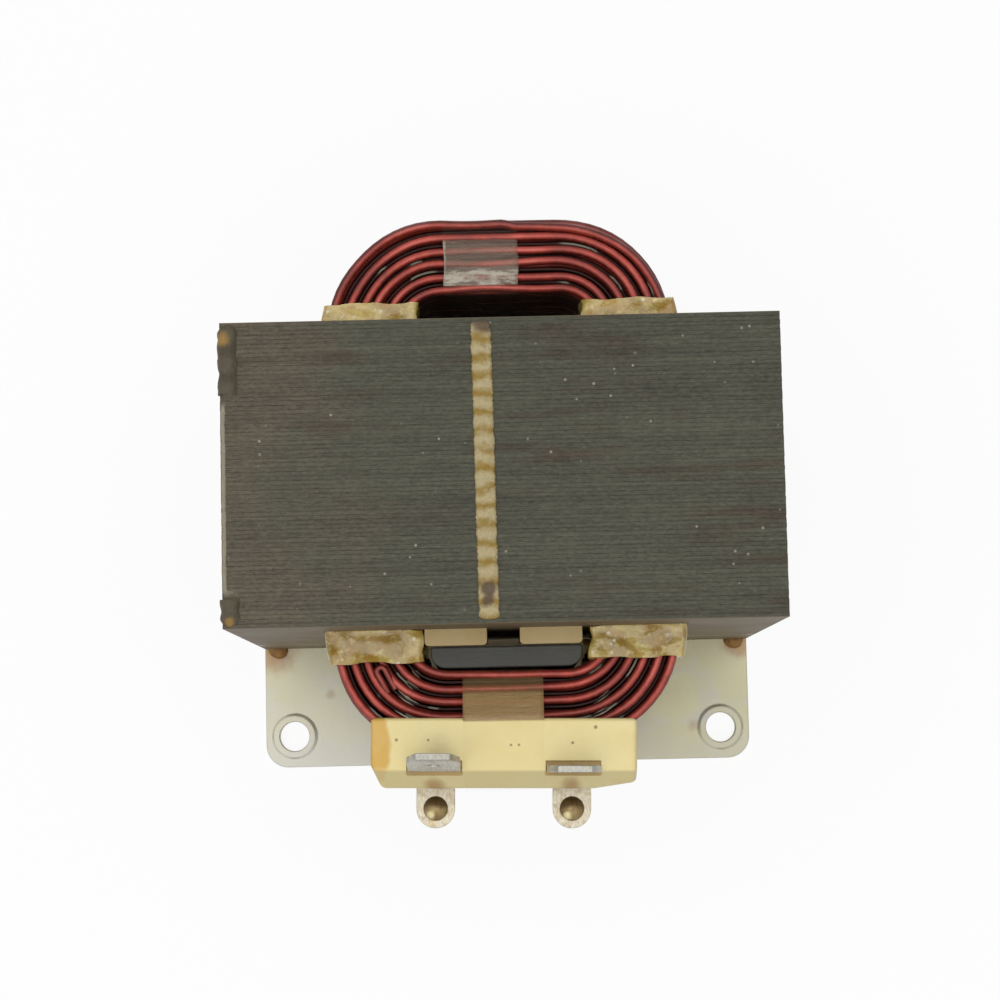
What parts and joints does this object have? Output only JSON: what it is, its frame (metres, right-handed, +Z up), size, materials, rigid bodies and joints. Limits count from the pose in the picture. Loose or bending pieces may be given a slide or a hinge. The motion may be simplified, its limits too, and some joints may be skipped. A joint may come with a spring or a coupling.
{
  "type": "transformer",
  "caption": "Transformer on a drilled base plate: welded E and I lamination core, round-wire winding with arched end turns, and a terminal block with push-on tabs.",
  "frame": {"origin": "on the underside of the base plate, straight under the middle of the core", "axes": "+Z up from the base plate, +X across the core, +Y along the lamination stack with the terminals at the front, -Y"},
  "size_m": [0.067, 0.0747, 0.0573],
  "materials": {
    "plated_steel": "zinc plated, stained by varnish",
    "core_steel": "rolled lamination steel under thin varnish",
    "weld_metal": "rippled bead under varnish",
    "enamelled_wire": "red enamel on copper",
    "varnished_paper": "varnish soaked",
    "clear_tape": "clear amber film",
    "grey_board": "pressed insulating board",
    "cream_plastic": "moulded, stained by varnish",
    "tinned_brass": "thinly tinned stamping",
    "solder": "solder with flux residue"
  },
  "bodies": {
    "root": {"base_plate": "plated_steel", "i_core": "core_steel", "gap_sheet": "varnished_paper", "e_core": "core_steel", "top_seam_weld": "weld_metal", "left_edge_weld": "weld_metal", "joint_weld_left": "weld_metal", "joint_weld_right": "weld_metal", "plate_tack_welds": "weld_metal", "winding": "enamelled_wire", "slot_liner_left": "varnished_paper", "slot_liner_right": "varnished_paper", "tape_front": "clear_tape", "tape_back": "clear_tape", "front_filler": "grey_board", "wedge_left": "cream_plastic", "wedge_right": "cream_plastic", "terminal_block": "cream_plastic", "terminal_left": "tinned_brass", "terminal_right": "tinned_brass", "solder_left": "solder", "solder_right": "solder"}
  },
  "joints": []
}
